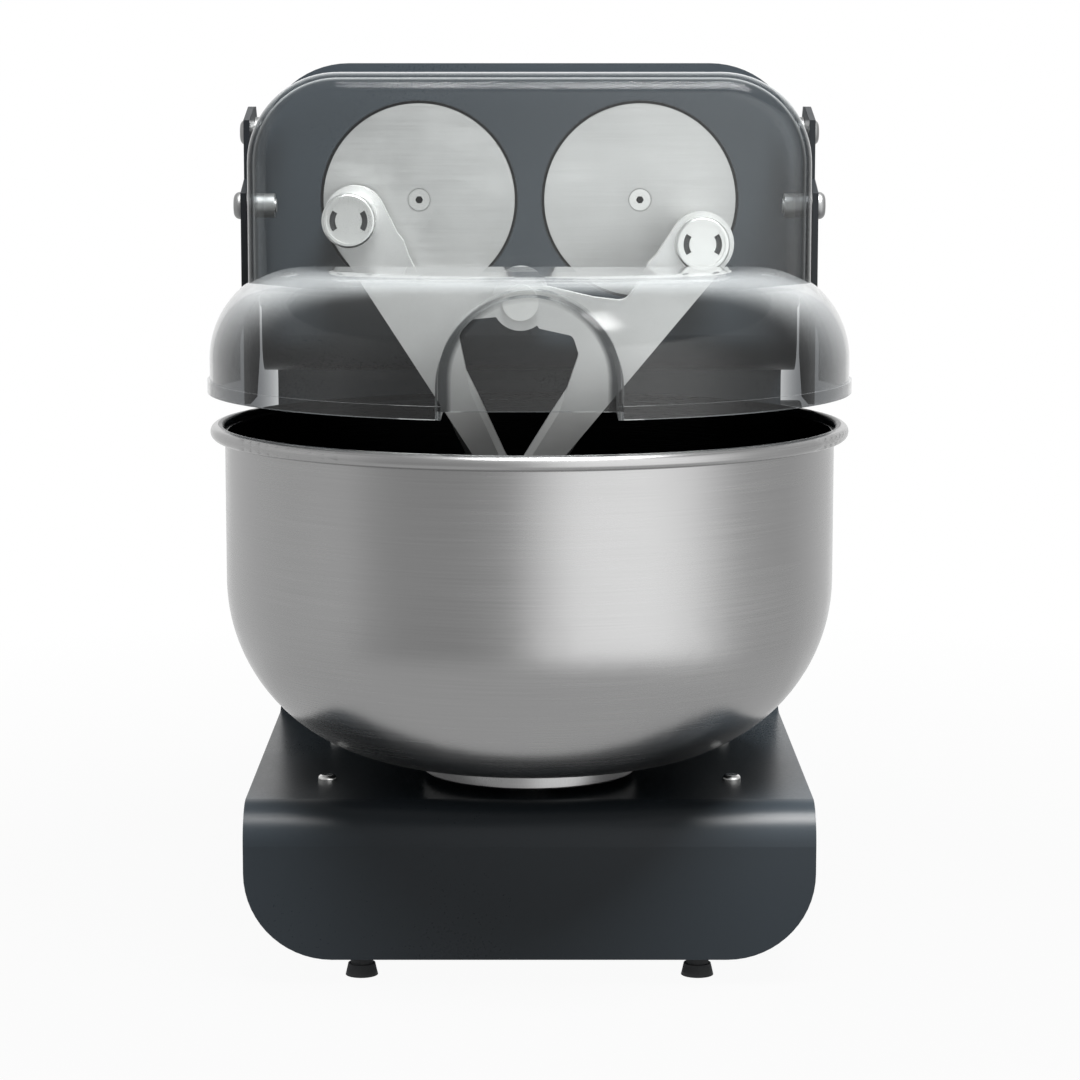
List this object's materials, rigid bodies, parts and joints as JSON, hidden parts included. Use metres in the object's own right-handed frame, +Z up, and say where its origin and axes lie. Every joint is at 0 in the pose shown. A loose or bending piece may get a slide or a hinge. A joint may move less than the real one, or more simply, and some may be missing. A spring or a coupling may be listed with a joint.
{
  "type": "twin-arm dough mixer",
  "caption": "Countertop dough mixer: steel bowl on a turntable, two crank-driven kneading arms under a hinged clear lid, black C-shaped body.",
  "frame": {"origin": "centre of the bounding box on the surface the feet stand on", "axes": "+Z up, -Y towards the user, the bowl in front and the column at the back, +X to the user's right"},
  "size_m": [0.3588, 0.482, 0.501],
  "materials": {
    "black_paint": "satin powder coat",
    "bright_steel": "polished and brushed stainless",
    "arm_steel": "bead-blasted stainless",
    "clear": "clear moulded polycarbonate",
    "zinc": "bright fasteners",
    "rubber": "matt",
    "machined": "machined, inside the casing",
    "motor_grey": "painted motor casing",
    "black_plastic": "moulded",
    "green_plastic": "moulded",
    "red_plastic": "moulded",
    "bronze": "cast wheel",
    "disc_steel": "fine brushed stainless"
  },
  "bodies": {
    "frame": {"housing": "black_paint", "rear_cover": "black_paint", "rear_screws": "zinc", "power_inlet": "black_plastic", "feet": "rubber", "base_screws": "zinc", "bearing_plate_front": "machined", "bearing_plate_rear": "machined", "head_bearings": "machined", "motor": "motor_grey", "motor_cradle": "machined", "head_belt": "rubber", "bowl_belt": "rubber", "worm_bearings": "machined", "spindle_housing": "machined", "hinge_bolts": "zinc", "hinge_spacers": "zinc", "control_box": "black_plastic", "button_collars": "black_plastic"},
    "lid": {"lid": "clear", "lid_cheek_left": "black_paint", "lid_cheek_right": "black_paint", "lid_bolts": "zinc", "lid_spacers": "zinc", "lid_nuts": "zinc"},
    "crank_left": {"crank_disc_left": "disc_steel", "crank_shaft_left": "machined", "crank_gear_left": "machined", "crank_pin_left": "bright_steel", "disc_screw_left": "zinc"},
    "crank_right": {"crank_disc_right": "disc_steel", "crank_shaft_right": "machined", "crank_gear_right": "machined", "crank_pin_right": "bright_steel", "disc_screw_right": "zinc"},
    "left_arm": {"arm_left": "arm_steel"},
    "right_arm": {"arm_right": "arm_steel", "arm_pivot": "arm_steel"},
    "left_knob": {"release_knob_left": "bright_steel"},
    "right_knob": {"release_knob_right": "bright_steel"},
    "lay_gear": {"drive_pinion": "machined", "lay_shaft": "machined", "lay_pulley": "machined"},
    "motor_rotor": {"motor_shaft": "machined", "motor_pulleys": "machined"},
    "bowl_worm": {"worm_shaft": "machined", "worm_pulley": "machined"},
    "bowl_table": {"worm_wheel": "bronze", "bowl_spindle": "machined", "turntable": "bright_steel", "bowl": "bright_steel"},
    "start": {"start_button": "green_plastic"},
    "stop": {"stop_button": "red_plastic"},
    "speed": {"speed_knob": "black_plastic"}
  },
  "joints": [
    {"name": "lid_hinge", "type": "hinge", "parent": "frame", "child": "lid", "pos_m": [0, 0.047, 0.461], "axis": [-1, 0, 0], "range_deg": [0, 78]},
    {"name": "crank_left_turn", "type": "hinge", "parent": "frame", "child": "crank_left", "pos_m": [-0.064, 0.017, 0.4226], "axis": [0, -1, 0], "continuous": true},
    {"name": "crank_right_turn", "type": "hinge", "parent": "frame", "child": "crank_right", "pos_m": [0.064, 0.017, 0.4226], "axis": [0, -1, 0], "continuous": true},
    {"name": "arm_left_swing", "type": "hinge", "parent": "crank_left", "child": "left_arm", "pos_m": [-0.10053, 0.002, 0.41369], "axis": [0, -1, 0], "continuous": true},
    {"name": "arm_right_swing", "type": "hinge", "parent": "crank_right", "child": "right_arm", "pos_m": [0.09521, -0.072, 0.40163], "axis": [0, -1, 0], "continuous": true},
    {"name": "knob_left_turn", "type": "hinge", "parent": "left_arm", "child": "left_knob", "pos_m": [-0.10053, -0.063, 0.41369], "axis": [0, -1, 0], "range_deg": [0, 60]},
    {"name": "knob_right_turn", "type": "hinge", "parent": "right_arm", "child": "right_knob", "pos_m": [0.09521, -0.082, 0.40163], "axis": [0, -1, 0], "range_deg": [0, 60]},
    {"name": "lay_turn", "type": "hinge", "parent": "frame", "child": "lay_gear", "pos_m": [0.11671, 0.056, 0.35978], "axis": [0, -1, 0], "continuous": true},
    {"name": "motor_turn", "type": "hinge", "parent": "frame", "child": "motor_rotor", "pos_m": [-0.09, 0.197, 0.059], "axis": [0, -1, 0], "continuous": true},
    {"name": "worm_turn", "type": "hinge", "parent": "frame", "child": "bowl_worm", "pos_m": [0.0474, -0.063, 0.058], "axis": [0, -1, 0], "continuous": true},
    {"name": "bowl_turn", "type": "hinge", "parent": "frame", "child": "bowl_table", "pos_m": [0, -0.063, 0.2], "axis": [0, 0, 1], "continuous": true},
    {"name": "start_press", "type": "slide", "parent": "frame", "child": "start", "axis": [-1, 0, 0], "range_m": [0, 0.0025], "stiffness_N_per_m": 800, "springref_m": -0.001},
    {"name": "stop_press", "type": "slide", "parent": "frame", "child": "stop", "axis": [-1, 0, 0], "range_m": [0, 0.0025], "stiffness_N_per_m": 800, "springref_m": -0.001},
    {"name": "speed_turn", "type": "hinge", "parent": "frame", "child": "speed", "pos_m": [0.165, 0.173, 0.276], "axis": [-1, 0, 0], "range_deg": [0, 270]}
  ],
  "couplings": [
    {"joint": "crank_right_turn", "follows": "crank_left_turn", "ratio": -1},
    {"joint": "arm_left_swing", "follows": "crank_left_turn", "ratio": -1},
    {"joint": "arm_right_swing", "follows": "crank_left_turn", "ratio": 1},
    {"joint": "lay_turn", "follows": "crank_left_turn", "ratio": 3.5556},
    {"joint": "motor_turn", "follows": "crank_left_turn", "ratio": 8.2963},
    {"joint": "worm_turn", "follows": "crank_left_turn", "ratio": 5.5309},
    {"joint": "bowl_turn", "follows": "crank_left_turn", "ratio": 0.13827}
  ]
}
